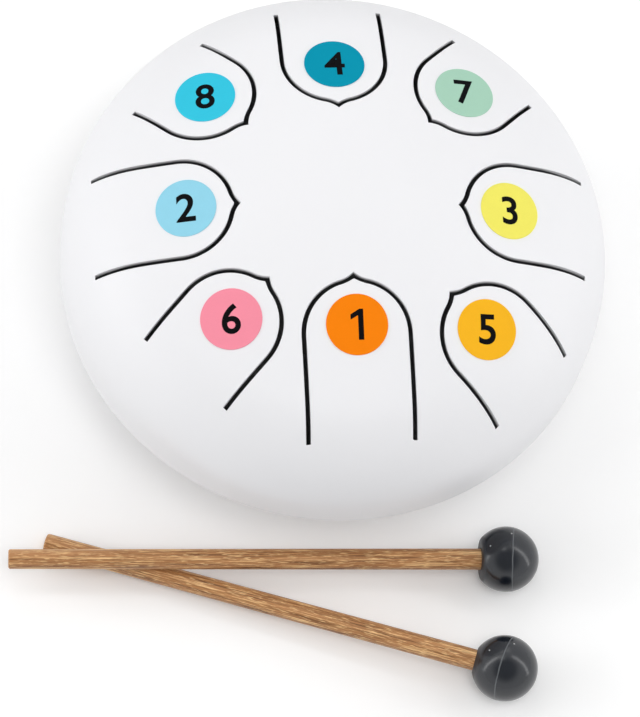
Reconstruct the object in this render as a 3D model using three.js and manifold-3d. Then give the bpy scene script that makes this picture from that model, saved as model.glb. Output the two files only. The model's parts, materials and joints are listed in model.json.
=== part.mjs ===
// Eight-note steel tongue drum with its pair of mallets, laid out on a table.
// Millimetres, +Z up, the table at z = 0 and the longest tongue towards -Y.

import * as THREE from 'three';
import { mergeVertices } from 'three/addons/utils/BufferGeometryUtils.js';
import Module from 'manifold-3d';

const wasm = await Module();
wasm.setup();

// Upper shell: a pressed steel dome with a straight skirt
const SHELL_RADIUS = 77.5;
const WALL = 1.5;
const CROWN_RADIUS = 176;
const KNUCKLE_RADIUS = 29.5;
const SKIRT_HEIGHT = 10;
const SKIRT_EDGE = 0.5;

// Lower shell: a bowl whose rim stands inside the skirt, with the sound hole in its middle
const LAP_GAP = 0.3;
const RIM_LAP = 8;
const BOWL_CROWN_RADIUS = 240;
const BOWL_KNUCKLE_RADIUS = 28;
const BOWL_BEND_LAP = 2.5;
const SOUND_HOLE_RADIUS = 16;
const GROUND_CLEARANCE = 4;

// Tongues: straight sides, an arched end and a small pointed nib
const TONGUE_WIDTH = 29.2;
const SLOT_WIDTH = 1.3;
const ARCH_DEPTH = 14.55;
const NIB_REACH = 15.95;
const NIB_HALF_WIDTH = 4.25;
const NIB_BASE_WIDTH = 1.7;
const NIB_BASE_DEPTH = 14.5;
const NIB_SLOT_STRETCH = 1.4;

// Direction of each from the drum's axis in degrees, how far out its tip, root and label's middle lie,
// and the label's colour
const TONGUE_1 = { turn: -88.7, tip: 22.9, root: 66.3, label: 36.6, colour: 0xf9830e };
const TONGUE_2 = { turn: 180.3, tip: 29.9, root: 69.0, label: 44.0, colour: 0x96d6eb };
const TONGUE_3 = { turn: -3.0, tip: 32.0, root: 68.3, label: 45.8, colour: 0xf4eb6a };
const TONGUE_4 = { turn: 90.4, tip: 29.3, root: 63.8, label: 43.6, colour: 0x0996b1 };
const TONGUE_5 = { turn: -45.1, tip: 39.0, root: 71.1, label: 52.4, colour: 0xf9b927 };
const TONGUE_6 = { turn: -134.9, tip: 32.4, root: 64.8, label: 46.9, colour: 0xf892a5 };
const TONGUE_7 = { turn: 44.1, tip: 35.2, root: 63.4, label: 50.3, colour: 0xa9d3bd };
const TONGUE_8 = { turn: 136.8, tip: 36.0, root: 64.1, label: 50.7, colour: 0x38c7e2 };
const TONGUES = [TONGUE_1, TONGUE_2, TONGUE_3, TONGUE_4, TONGUE_5, TONGUE_6, TONGUE_7, TONGUE_8];

// Note labels: thin round stickers, one inside the arch of each tongue
const LABEL_RADIUS = 8.5;
const LABEL_THICKNESS = 0.2;
const LABEL_GLUE = 0.05;

// Rubber feet, each held by a screw, a washer and a nut
const FOOT_COUNT = 3;
const FOOT_FIRST_TURN = -90;
const FOOT_CIRCLE_RADIUS = 44;
const FOOT_SEAT_RADIUS = 7.5;
const FOOT_SOLE_RADIUS = 6.7;
const FOOT_RECESS_RADIUS = 4;
const FOOT_WEB = 3;
const SEAT_GAP = 0.2;
const SCREW_RADIUS = 1.45;
const SCREW_HOLE_RADIUS = 1.7;
const SCREW_HEAD_RADIUS = 2.8;
const SCREW_HEAD_HEIGHT = 1.8;
const SCREW_END_SPARE = 1;
const SCREW_TIP_CHAMFER = 0.48;
const WASHER_RADIUS = 3.5;
const WASHER_THICKNESS = 0.6;
const NUT_ACROSS_FLATS = 5.5;
const NUT_SIDES = 6;
const NUT_HEIGHT = 2.4;

// Lengths of the drill for the screw holes and of the block that levels the soles
const DRILL_LENGTH = 6;
const TABLE_BLOCK = 60;

// Mallets: a slightly tapered wooden stick glued into a rubber ball
const HEAD_RADIUS = 9.45;
const STICK_HANDLE_RADIUS = 2.8;
const STICK_NECK_RADIUS = 3.05;
const STICK_END_CHAMFER = 0.6;
const STICK_INSERT = 13;
const GLUE_GAP = 0.15;
const LAID_GAP = 0.3;
// Place of each head's centre from the drum's axis, heading from handle to head, reach between the two,
// and depth from the centre to the flat that the stick goes into
const UPPER_MALLET = { x: 48, y: -81.2, heading: -1.5, reach: 142, flat: 7.5 };
const LOWER_MALLET = { x: 45, y: -113.7, heading: -18.7, reach: 135.5, flat: 8.7 };

// Facets round each kind of piece, and along the curves of the shells, slots and balls
const SHELL_FACETS = 60;
const SMALL_FACETS = 20;
const BALL_FACETS = 24;
const CROWN_STEPS = 4;
const KNUCKLE_STEPS = 6;
const SLOT_STEPS = 4;
const BALL_STEPS = 11;
const SCREW_HEAD_STEPS = 3;

// Points nearer than this are one point
const WELD = 1e-4;

const DEGREE = Math.PI / 180;

// Heights that follow from the sizes above
const BOWL_RADIUS = SHELL_RADIUS - WALL - LAP_GAP;
const BOWL = { radius: BOWL_RADIUS, crown: BOWL_CROWN_RADIUS, knuckle: BOWL_KNUCKLE_RADIUS };
const DOME = { radius: SHELL_RADIUS, crown: CROWN_RADIUS, knuckle: KNUCKLE_RADIUS };
const BOWL_BEND_Z = GROUND_CLEARANCE + rise(BOWL);
const SKIRT_Z = BOWL_BEND_Z - BOWL_BEND_LAP;
const DOME_BEND_Z = SKIRT_Z + SKIRT_HEIGHT;
const DOME_TOP_Z = DOME_BEND_Z + rise(DOME);

// Finishes
const VINYL_ROUGHNESS = 0.45;
function finish(color, roughness, metalness = 0) {
  return new THREE.MeshStandardMaterial({ color, roughness, metalness });
}
const WHITE_PAINT = finish(0xf0f0f2, 0.4);
const BLACK_RUBBER = finish(0x1d1d1f, 0.8);
const ZINC = finish(0xb9bcc0, 0.35, 1);
const HEAD_RUBBER = finish(0x2f3033, 0.55);
const STAINED_WOOD = finish(0x9a6a3f, 0.6);

// Height of a dished shell above the plane where its wall turns in
function rise({ radius, crown, knuckle }) {
  return crown - Math.sqrt((crown - knuckle) ** 2 - (radius - knuckle) ** 2);
}

// Points along an arc about (x, y), with angles in radians from +X
function arc(x, y, radius, from, to, steps) {
  return Array.from({ length: steps + 1 }, (_, i) => {
    const angle = THREE.MathUtils.lerp(from, to, i / steps);
    return new THREE.Vector2(x + radius * Math.cos(angle), y + radius * Math.sin(angle));
  });
}

// Half section of a dished shell, from its hole or pole out to its wall, heights above the bend plane
function dish({ radius, crown, knuckle }, inset, holeRadius = 0) {
  const meet = Math.acos((radius - knuckle) / (crown - knuckle));
  const crownY = rise({ radius, crown, knuckle }) - crown;
  const start = Math.acos(holeRadius / (crown - inset));
  const crownArc = arc(0, crownY, crown - inset, start, meet, CROWN_STEPS);
  const knuckleArc = arc(radius - knuckle, 0, knuckle - inset, meet, 0, KNUCKLE_STEPS);
  if (holeRadius === 0) crownArc[0].x = 0;
  return [...crownArc, ...knuckleArc.slice(1)];
}

// Solid of revolution about Z, from a half section that runs anticlockwise
function revolve(section, facets) {
  return new THREE.LatheGeometry(section, facets).rotateX(Math.PI / 2);
}

function closed(section) {
  return [...section, section[0].clone()];
}

// Closed geometry to a solid for joining and cutting, and back
function solid(geometry) {
  const plain = geometry.clone();
  plain.deleteAttribute('normal');
  plain.deleteAttribute('uv');
  const welded = mergeVertices(plain, WELD);
  const corners = Array.from(welded.index.array);
  const triVerts = [];
  for (let i = 0; i < corners.length; i += 3) {
    const [a, b, c] = corners.slice(i, i + 3);
    if (a !== b && b !== c && c !== a) triVerts.push(a, b, c);
  }
  const vertProperties = welded.attributes.position.array;
  const mesh = new wasm.Mesh({ numProp: 3, vertProperties, triVerts: new Uint32Array(triVerts) });
  return new wasm.Manifold(mesh);
}

function geometryOf(manifold) {
  const { vertProperties, triVerts } = manifold.getMesh();
  const geometry = new THREE.BufferGeometry();
  geometry.setAttribute('position', new THREE.BufferAttribute(vertProperties, 3));
  geometry.setIndex(new THREE.BufferAttribute(triVerts, 1));
  const flat = geometry.toNonIndexed();
  flat.computeVertexNormals();
  return flat;
}

function piece(name, geometry, material) {
  const mesh = new THREE.Mesh(geometry, material);
  mesh.name = name;
  return mesh;
}

// Edge of a tongue grown by a margin: from the root corner on one side round the arch and nib to the other
function tongueEdge(path, { tip, root }, margin, side) {
  const base = tip + NIB_REACH;
  const half = TONGUE_WIDTH / 2 + margin;
  const depth = ARCH_DEPTH + margin;
  const shoulder = Math.acos(NIB_HALF_WIDTH / half);
  const shoulderX = base - depth * Math.sin(shoulder);
  const nibX = tip - margin * NIB_SLOT_STRETCH;
  const nibBaseX = base - NIB_BASE_DEPTH - margin;
  path.lineTo(root, side * half);
  path.lineTo(base, side * half);
  path.absellipse(base, 0, depth, half, side * Math.PI / 2, side * (Math.PI / 2 + shoulder), side < 0);
  path.quadraticCurveTo(nibBaseX, side * NIB_BASE_WIDTH, nibX, 0);
  path.quadraticCurveTo(nibBaseX, -side * NIB_BASE_WIDTH, shoulderX, -side * NIB_HALF_WIDTH);
  path.absellipse(base, 0, depth, half, -side * (Math.PI / 2 + shoulder), -side * Math.PI / 2, side < 0);
  path.lineTo(root, -side * half);
}

// Cutter for the slot that frees a tongue
function slotCutter(tongue) {
  const outline = new THREE.Shape();
  outline.moveTo(tongue.root, TONGUE_WIDTH / 2 + SLOT_WIDTH / 2);
  tongueEdge(outline, tongue, SLOT_WIDTH / 2, 1);
  tongueEdge(outline, tongue, -SLOT_WIDTH / 2, -1);
  outline.closePath();
  const form = { depth: DOME_TOP_Z - SKIRT_Z, bevelEnabled: false, curveSegments: SLOT_STEPS };
  const cutter = new THREE.ExtrudeGeometry(outline, form);
  cutter.translate(0, 0, DOME_BEND_Z);
  return solid(cutter.rotateZ(tongue.turn * DEGREE));
}

function topShell() {
  const inner = dish(DOME, WALL);
  const outer = dish(DOME, 0);
  const lift = (points) => points.map((p) => new THREE.Vector2(p.x, p.y + DOME_BEND_Z));
  const section = [
    ...lift(inner),
    new THREE.Vector2(SHELL_RADIUS - WALL, SKIRT_Z),
    new THREE.Vector2(SHELL_RADIUS - SKIRT_EDGE, SKIRT_Z),
    new THREE.Vector2(SHELL_RADIUS, SKIRT_Z + SKIRT_EDGE),
    ...lift(outer).reverse(),
  ];
  let shell = solid(revolve(section, SHELL_FACETS));
  for (const tongue of TONGUES) shell = shell.subtract(slotCutter(tongue));
  return piece('top_shell', geometryOf(shell), WHITE_PAINT);
}

// Frame of each foot: origin on the bowl's outside, +Z square to the bowl and into the drum
function footFrame(index) {
  const frame = new THREE.Group();
  const lean = Math.asin(FOOT_CIRCLE_RADIUS / BOWL_CROWN_RADIUS);
  const turn = (FOOT_FIRST_TURN + (index * 360) / FOOT_COUNT) * DEGREE;
  const seatZ = GROUND_CLEARANCE + BOWL_CROWN_RADIUS * (1 - Math.cos(lean));
  frame.position.set(FOOT_CIRCLE_RADIUS * Math.cos(turn), FOOT_CIRCLE_RADIUS * Math.sin(turn), seatZ);
  frame.rotation.set(0, -lean, turn, 'ZYX');
  frame.updateMatrix();
  return frame;
}

function bottomShell() {
  const sink = (points) => points.map((p) => new THREE.Vector2(p.x, BOWL_BEND_Z - p.y));
  const section = closed([
    ...sink(dish(BOWL, 0, SOUND_HOLE_RADIUS)),
    new THREE.Vector2(BOWL_RADIUS, SKIRT_Z + RIM_LAP),
    new THREE.Vector2(BOWL_RADIUS - WALL, SKIRT_Z + RIM_LAP),
    ...sink(dish(BOWL, WALL, SOUND_HOLE_RADIUS)).reverse(),
  ]);
  let bowl = solid(revolve(section, SHELL_FACETS));
  for (let i = 0; i < FOOT_COUNT; i += 1) {
    const hole = SCREW_HOLE_RADIUS;
    const drill = new THREE.CylinderGeometry(hole, hole, DRILL_LENGTH, SMALL_FACETS);
    drill.rotateX(Math.PI / 2).applyMatrix4(footFrame(i).matrix);
    bowl = bowl.subtract(solid(drill));
  }
  return piece('bottom_shell', geometryOf(bowl), WHITE_PAINT);
}

// Sticker curved to the crown, inside its tongue's arch
function noteLabel(tongue, number) {
  const under = CROWN_RADIUS + LABEL_GLUE;
  const over = under + LABEL_THICKNESS;
  const dome = (radius, at) => new THREE.Vector2(at, Math.sqrt(radius ** 2 - at ** 2) - CROWN_RADIUS);
  const stations = [0, LABEL_RADIUS / 2, LABEL_RADIUS];
  const section = [
    ...stations.map((at) => dome(under, at)),
    ...stations.map((at) => dome(over, at)).reverse(),
  ];
  const vinyl = finish(tongue.colour, VINYL_ROUGHNESS);
  const label = piece(`note_label_${number}`, revolve(section, SMALL_FACETS), vinyl);
  const lean = Math.asin(tongue.label / CROWN_RADIUS);
  const turn = tongue.turn * DEGREE;
  const height = DOME_TOP_Z - CROWN_RADIUS * (1 - Math.cos(lean));
  label.position.set(tongue.label * Math.cos(turn), tongue.label * Math.sin(turn), height);
  label.rotation.set(0, lean, turn, 'ZYX');
  return label;
}

// Rubber foot with a curved seat, a recess for the screw's head and its sole level on the table
function foot(frame) {
  const ball = BOWL_CROWN_RADIUS + SEAT_GAP;
  const seat = (at) => new THREE.Vector2(at, BOWL_CROWN_RADIUS - Math.sqrt(ball ** 2 - at ** 2));
  const length = frame.position.z + FOOT_SEAT_RADIUS;
  const section = closed([
    new THREE.Vector2(FOOT_RECESS_RADIUS, -length),
    new THREE.Vector2(FOOT_SOLE_RADIUS, -length),
    seat(FOOT_SEAT_RADIUS),
    seat(SCREW_HOLE_RADIUS),
    new THREE.Vector2(SCREW_HOLE_RADIUS, -FOOT_WEB),
    new THREE.Vector2(FOOT_RECESS_RADIUS, -FOOT_WEB),
  ]);
  const table = new THREE.BoxGeometry(TABLE_BLOCK, TABLE_BLOCK, TABLE_BLOCK);
  table.translate(frame.position.x, frame.position.y, -TABLE_BLOCK / 2);
  table.applyMatrix4(frame.matrix.clone().invert());
  return geometryOf(solid(revolve(section, SMALL_FACETS)).subtract(solid(table)));
}

function washer() {
  const top = -FOOT_WEB - SEAT_GAP;
  const section = closed([
    new THREE.Vector2(SCREW_HOLE_RADIUS, top - WASHER_THICKNESS),
    new THREE.Vector2(WASHER_RADIUS, top - WASHER_THICKNESS),
    new THREE.Vector2(WASHER_RADIUS, top),
    new THREE.Vector2(SCREW_HOLE_RADIUS, top),
  ]);
  return revolve(section, SMALL_FACETS);
}

// Pan-headed screw, head down, reaching just past the nut
function screw() {
  const headTop = -FOOT_WEB - 2 * SEAT_GAP - WASHER_THICKNESS;
  const headEnd = headTop - SCREW_HEAD_HEIGHT;
  const round = SCREW_HEAD_HEIGHT / 2;
  const tip = WALL + SEAT_GAP + NUT_HEIGHT + SCREW_END_SPARE;
  const section = [
    new THREE.Vector2(0, headEnd),
    ...arc(SCREW_HEAD_RADIUS - round, headEnd + round, round, -Math.PI / 2, 0, SCREW_HEAD_STEPS),
    new THREE.Vector2(SCREW_HEAD_RADIUS, headTop),
    new THREE.Vector2(SCREW_RADIUS, headTop),
    new THREE.Vector2(SCREW_RADIUS, tip - SCREW_TIP_CHAMFER),
    new THREE.Vector2(SCREW_RADIUS - SCREW_TIP_CHAMFER, tip),
    new THREE.Vector2(0, tip),
  ];
  return revolve(section, SMALL_FACETS);
}

function nut() {
  const corner = NUT_ACROSS_FLATS / 2 / Math.cos(Math.PI / NUT_SIDES);
  const outline = new THREE.Shape();
  for (let i = 0; i < NUT_SIDES; i += 1) {
    const angle = (i * 2 * Math.PI) / NUT_SIDES;
    const step = i === 0 ? 'moveTo' : 'lineTo';
    outline[step](corner * Math.cos(angle), corner * Math.sin(angle));
  }
  outline.closePath();
  const hole = new THREE.Path();
  hole.absarc(0, 0, SCREW_HOLE_RADIUS, 0, 2 * Math.PI, true);
  outline.holes.push(hole);
  const form = { depth: NUT_HEIGHT, bevelEnabled: false, curveSegments: SMALL_FACETS / 2 };
  const body = new THREE.ExtrudeGeometry(outline, form);
  return body.translate(0, 0, WALL + SEAT_GAP);
}

function footSet(index) {
  const frame = footFrame(index);
  const number = index + 1;
  frame.add(piece(`foot_${number}`, foot(frame), BLACK_RUBBER));
  frame.add(piece(`foot_washer_${number}`, washer(), ZINC));
  frame.add(piece(`foot_screw_${number}`, screw(), ZINC));
  frame.add(piece(`foot_nut_${number}`, nut(), ZINC));
  return frame;
}

// Stick along Z with the head's centre at the origin and the handle end at -reach
function stick({ reach, flat }) {
  const insertEnd = STICK_INSERT - flat;
  const section = [
    new THREE.Vector2(0, -reach),
    new THREE.Vector2(STICK_HANDLE_RADIUS - STICK_END_CHAMFER, -reach),
    new THREE.Vector2(STICK_HANDLE_RADIUS, -reach + STICK_END_CHAMFER),
    new THREE.Vector2(STICK_NECK_RADIUS, -flat),
    new THREE.Vector2(STICK_NECK_RADIUS, insertEnd),
    new THREE.Vector2(0, insertEnd),
  ];
  return revolve(section, SMALL_FACETS);
}

// Rubber ball with a flat where the stick goes in, and a blind hole for it
function head({ flat }) {
  const flatAngle = -Math.asin(flat / HEAD_RADIUS);
  const bore = STICK_NECK_RADIUS + GLUE_GAP;
  const boreEnd = STICK_INSERT - flat + GLUE_GAP;
  const ball = arc(0, 0, HEAD_RADIUS, flatAngle, Math.PI / 2, BALL_STEPS);
  ball[ball.length - 1].x = 0;
  const section = [
    new THREE.Vector2(0, boreEnd),
    new THREE.Vector2(bore, boreEnd),
    new THREE.Vector2(bore, -flat),
    ...ball,
  ];
  return revolve(section, BALL_FACETS);
}

// Radius of a tapered stick at a distance from its head's centre
function stickRadius(distance, { reach, flat }) {
  const along = (distance - flat) / (reach - flat);
  return THREE.MathUtils.lerp(STICK_NECK_RADIUS, STICK_HANDLE_RADIUS, along);
}

// Distances from each head's centre, back along its stick, to the crossing seen from above
function crossing(upper, lower) {
  const back = ({ heading }) => new THREE.Vector2(-Math.cos(heading * DEGREE), -Math.sin(heading * DEGREE));
  const a = back(upper);
  const b = back(lower);
  const between = new THREE.Vector2(lower.x - upper.x, lower.y - upper.y);
  const turn = a.cross(b);
  return { upper: between.cross(b) / turn, lower: between.cross(a) / turn };
}

// Slopes of the sticks: the lower one rests on its handle end, the upper one lies across it
const lowerDrop = Math.asin((HEAD_RADIUS - STICK_HANDLE_RADIUS) / LOWER_MALLET.reach);
const meeting = crossing(UPPER_MALLET, LOWER_MALLET);
const lowerAxisZ = HEAD_RADIUS - meeting.lower * Math.tan(lowerDrop);
const stickStack = stickRadius(meeting.lower, LOWER_MALLET) + stickRadius(meeting.upper, UPPER_MALLET);
const upperAxisZ = lowerAxisZ + stickStack + LAID_GAP;
const upperDrop = Math.atan((HEAD_RADIUS - upperAxisZ) / meeting.upper);

function mallet(number, shape, drop) {
  const frame = new THREE.Group();
  frame.add(piece(`mallet_${number}_stick`, stick(shape), STAINED_WOOD));
  frame.add(piece(`mallet_${number}_head`, head(shape), HEAD_RUBBER));
  frame.position.set(shape.x, shape.y, HEAD_RADIUS);
  frame.rotation.set(0, Math.PI / 2 - drop, shape.heading * DEGREE, 'ZYX');
  return frame;
}

const drum = new THREE.Group();
drum.add(topShell(), bottomShell());
TONGUES.forEach((tongue, index) => drum.add(noteLabel(tongue, index + 1)));
for (let i = 0; i < FOOT_COUNT; i += 1) drum.add(footSet(i));

const set = new THREE.Group();
set.add(drum, mallet(1, UPPER_MALLET, upperDrop), mallet(2, LOWER_MALLET, lowerDrop));

// The origin is the middle of the whole set's base
const middle = new THREE.Box3().setFromObject(set, true).getCenter(new THREE.Vector3());
set.position.set(-middle.x, -middle.y, 0);

export default set;
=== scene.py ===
"""Models a steel tongue drum with its labels, feet and mallets round the packed part, and a stage for it."""

import json
import math
from typing import NamedTuple

import bpy
from mathutils import Euler, Matrix, Vector
from mathutils.kdtree import KDTree


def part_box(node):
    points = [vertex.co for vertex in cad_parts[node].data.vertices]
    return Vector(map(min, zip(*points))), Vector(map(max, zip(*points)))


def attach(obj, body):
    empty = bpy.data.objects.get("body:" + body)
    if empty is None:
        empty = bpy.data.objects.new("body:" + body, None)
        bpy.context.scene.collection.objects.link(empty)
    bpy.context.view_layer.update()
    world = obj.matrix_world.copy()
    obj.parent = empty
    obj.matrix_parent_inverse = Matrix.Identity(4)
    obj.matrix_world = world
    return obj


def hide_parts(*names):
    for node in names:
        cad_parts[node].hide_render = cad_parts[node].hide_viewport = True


bl_info = {
    "name": "Tongue Drum",
    "version": (1, 0, 0),
    "blender": (4, 5, 0),
    "location": "View3D > Sidebar > Drum",
    "description": "Models a slotted steel drum with its labels, feet and mallets, and a stage to see it on",
    "category": "Object",
}

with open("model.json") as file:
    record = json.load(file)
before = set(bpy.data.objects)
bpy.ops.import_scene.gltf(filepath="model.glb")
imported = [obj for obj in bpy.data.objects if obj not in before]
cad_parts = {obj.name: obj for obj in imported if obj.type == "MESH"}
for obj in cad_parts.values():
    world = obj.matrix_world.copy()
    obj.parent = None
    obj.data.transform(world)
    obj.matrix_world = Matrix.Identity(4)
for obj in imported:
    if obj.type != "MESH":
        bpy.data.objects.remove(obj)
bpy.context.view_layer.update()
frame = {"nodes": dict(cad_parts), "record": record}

MM = 0.001
DEGREE = math.pi / 180
RECORD_COLOURS = {entry["slot"]: entry["base_color"] for entry in frame["record"]["materials"]}

# The drum's axis stands in the middle of its round shell
SHELL_LOW, SHELL_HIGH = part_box("top_shell")
AXIS = Vector(((SHELL_LOW.x + SHELL_HIGH.x) / 2, (SHELL_LOW.y + SHELL_HIGH.y) / 2, 0))


class Tongue(NamedTuple):
    """Turn about the axis in degrees, distances of tip, root and label from it, and the label's finish."""

    turn: float
    tip: float
    root: float
    label: float
    finish: str


TONGUES = [
    Tongue(-88.7, 22.9 * MM, 66.3 * MM, 36.6 * MM, "label_orange"),
    Tongue(180.3, 29.9 * MM, 69.0 * MM, 44.0 * MM, "label_light_blue"),
    Tongue(-3.0, 32.0 * MM, 68.3 * MM, 45.8 * MM, "label_yellow"),
    Tongue(90.4, 29.3 * MM, 63.8 * MM, 43.6 * MM, "label_teal"),
    Tongue(-45.1, 39.0 * MM, 71.1 * MM, 52.4 * MM, "label_amber"),
    Tongue(-134.9, 32.4 * MM, 64.8 * MM, 46.9 * MM, "label_pink"),
    Tongue(44.1, 35.2 * MM, 63.4 * MM, 50.3 * MM, "label_green"),
    Tongue(136.8, 36.0 * MM, 64.1 * MM, 50.7 * MM, "label_cyan"),
]

# How much further than its sides the slot goes round the point of a nib
NIB_SLOT_STRETCH = 1.4

# Depths in a slot from which the paint thins out and darkens into painted shade, and at which it ends, and
# the ragged width of that
PAINT_THINS_INTO_SHADE = 0.3 * MM
PAINT_ENDS_IN_SHADE = 1.4 * MM
PAINT_AND_SHADE_RAGGED = 0.3 * MM

# Faces inside the bowl have primer, set dark as painted shade, unless they look down by more than this
PRIMER_LOOKS_DOWN = -0.2

# Outline of the figure one, as shares of its height
FIGURE_ONE = [(0, 0), (0.17, 0), (0.17, 1), (0.05, 1), (-0.24, 0.82), (-0.24, 0.65), (0, 0.79)]

# Number of feet, turn of the first one in degrees, small roundings, and the screw's end and cross
FEET = 3
FIRST_FOOT = -90
FOOT_LIP = 0.5 * MM
SOLE_ROUND = 0.4 * MM
HEAD_CROWN = 0.55
SCREW_END = 1 * MM
CROSS_ARM = (0.55 * MM, 2.9 * MM, 2 * MM)


class Mallet(NamedTuple):
    """Place of the ball, lie of the stick in degrees, reach to its end, the ball's flat and mould line."""

    head: Vector
    heading: float
    slope: float
    reach: float
    flat: float
    flat_round: float
    seam: Vector
    seam_shift: float


MALLETS = {
    "mallet_1": Mallet(
        head=AXIS + MM * Vector((48, -81.2, 9.45)),
        heading=-1.5,
        slope=-0.322,
        reach=142 * MM,
        flat=7.5 * MM,
        flat_round=2 * MM,
        seam=Vector((0.984, -0.112, 0.140)),
        seam_shift=2 * MM,
    ),
    "mallet_2": Mallet(
        head=AXIS + MM * Vector((45, -113.7, 9.45)),
        heading=-18.7,
        slope=2.813,
        reach=135.5 * MM,
        flat=8.7 * MM,
        flat_round=0.7 * MM,
        seam=Vector((0.897, -0.386, 0.220)),
        seam_shift=0.2 * MM,
    ),
}


class Lamp(NamedTuple):
    """Power, directions of a lamp and of its long side, its width and length, and whether it is reflected."""

    power: float
    towards: tuple
    long_side: tuple
    size: tuple
    reflected: bool = True


# Broad lamps, in the frame's axes
LAMPS = {
    "key": Lamp(0.5, (-0.2, 0.3, 0.93), (0, 1, 0), (0.3, 0.3)),
    "front": Lamp(3.6, (0, -0.3, 0.95), (0, 1, 0), (0.5, 0.5), reflected=False),
    "back": Lamp(1.5, (0, 0.8, 0.6), (0, 0, 1), (0.8, 0.8)),
    "left_box": Lamp(4.2, (-0.9, 0, 0.42), (0, 1, 0), (0.5, 1.2), reflected=False),
    "right_box": Lamp(3.7, (0.9, 0, 0.42), (0, 1, 0), (0.5, 1.2), reflected=False),
}

# Narrow lamps, in the camera's axes
STRIPS = {
    "left_strip": Lamp(2.8, (-0.8, 0.3, 0.53), (0.56, 0.7, 0.44), (0.12, 1.85)),
    "right_strip": Lamp(3.1, (0.86, 0.23, 0.45), (-0.51, 0.74, 0.44), (0.12, 2.1)),
}
LAMP_DISTANCE = 1.3

# Where round the camera the sky's reflection is dimmer, as a cosine, and how fast it gets so
DIM_FROM = 0.62
DIM_SLOPE = 4

# Size of the table and reach of the light on it, the dark card under the sound hole that paints shade there,
# and the camera's sensor
TABLE_SIZE = 12
NEAR_TABLE = 0.3
SHADE_CARD_RADIUS = 18 * MM
SHADE_CARD_HEIGHT = 0.2 * MM
SENSOR_WIDTH = 36
WHITE = (1, 1, 1)

# Steps round the shells, small turned pieces, labels and balls, and along their curves
SHELL_TURNS = 240
SMALL_TURNS = 48
LABEL_TURNS = 96
BALL_TURNS = 96
CROWN_STEPS = 26
KNUCKLE_STEPS = 22
ARCH_STEPS = 18
NIB_STEPS = 8
LIP_STEPS = 4
LABEL_STEPS = 8
TYPE_STEPS = 8
SCREW_STEPS = 6
STICK_STEPS = 40
BALL_STEPS = 48

# Distance at which points merge, size of a seed, and angles at which edges stay sharp or count as rims
MERGE = 0.002 * MM
SEED_SIZE = 1 * MM
SHARP = 40 * DEGREE
RIM = 50 * DEGREE


def length(name, description, millimetres):
    """A size in the sidebar."""
    return bpy.props.FloatProperty(
        name=name, description=description, default=millimetres * MM, min=0, unit="LENGTH", precision=5
    )


def angle(name, description, degrees):
    """An angle in the sidebar."""
    radians = degrees * DEGREE
    return bpy.props.FloatProperty(name=name, description=description, default=radians, subtype="ANGLE")


def colour(name, description, default):
    """A colour in the sidebar."""
    return bpy.props.FloatVectorProperty(
        name=name, description=description, default=tuple(default), size=3, min=0, max=1, subtype="COLOR"
    )


def label_colour(number, tongue):
    """The colour of a label in the sidebar, from the record."""
    return colour(f"Label {number}", f"Vinyl of label {number}", RECORD_COLOURS[tongue.finish])


def strength(name, description, default):
    """A light's strength in the sidebar."""
    return bpy.props.FloatProperty(name=name, description=description, default=default, min=0)


def group(name, kind):
    """A group of settings, described by its class."""
    return bpy.props.PointerProperty(type=kind, name=name, description=kind.__doc__)


class ShellSizes(bpy.types.PropertyGroup):
    """Sizes of the two pressed shells and of the slots in the upper one"""

    radius: length("Shell radius", "Outside radius of the skirt", (SHELL_HIGH.x - SHELL_LOW.x) / 2 / MM)
    wall: length("Wall", "Thickness of the steel", 1.5)
    top: length("Top", "Height of the dome's crown over the table", SHELL_HIGH.z / MM)
    skirt: length("Skirt edge", "Height of the skirt's lower edge over the table", SHELL_LOW.z / MM)
    crown: length("Crown radius", "Radius of the dome's broad curve", 176)
    knuckle: length("Knuckle radius", "Radius of the bend between the dome and its skirt", 29.5)
    lap_gap: length("Lap gap", "Gap between the skirt and the bowl's rim", 0.3)
    rim_lap: length("Rim lap", "How far the bowl's rim stands up inside the skirt", 8)
    bowl_crown: length("Bowl radius", "Radius of the bowl's broad curve", 240)
    bowl_knuckle: length("Bowl knuckle", "Radius of the bend between the bowl and its rim", 28)
    clearance: length("Clearance", "Height of the bowl's middle over the table", 4)
    sound_hole: length("Sound hole radius", "Radius of the hole under the drum", 16)
    tongue_width: length("Tongue width", "Width of a tongue between the middles of its slots", 29.2)
    slot_width: length("Slot width", "Width of the cut round a tongue", 1.3)
    arch_depth: length("Arch depth", "Depth of the curve at a tongue's end", 14.55)
    nib_reach: length("Nib reach", "From the start of the arch to the point of the nib", 15.95)
    nib_half_width: length("Nib half width", "Half the width of the nib where it leaves the arch", 4.25)
    nib_base_width: length("Nib bend width", "Half the width between the bends of the nib's sides", 1.7)
    nib_base_depth: length("Nib bend depth", "From the start of the arch to those bends", 14.5)
    edge_round: length("Edge round", "Rounding of the cut edges by the paint", 0.12)


class LabelSizes(bpy.types.PropertyGroup):
    """Sizes of the round note labels and their printed numbers"""

    radius: length("Label radius", "Radius of a label", 8.5)
    thickness: length("Label thickness", "Thickness of a label", 0.2)
    glue: length("Glue", "Thickness of the glue under a label", 0.05)
    number_height: length("Number height", "Height of a printed number", 8.6)
    number_grid: length("Number grid", "Spacing of the cuts that let a number follow its label's curve", 0.8)
    bold: length("Bold", "How much each side of a stroke is thickened", 0.2)
    ink: length("Ink", "Thickness of the printed ink", 0.02)


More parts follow.
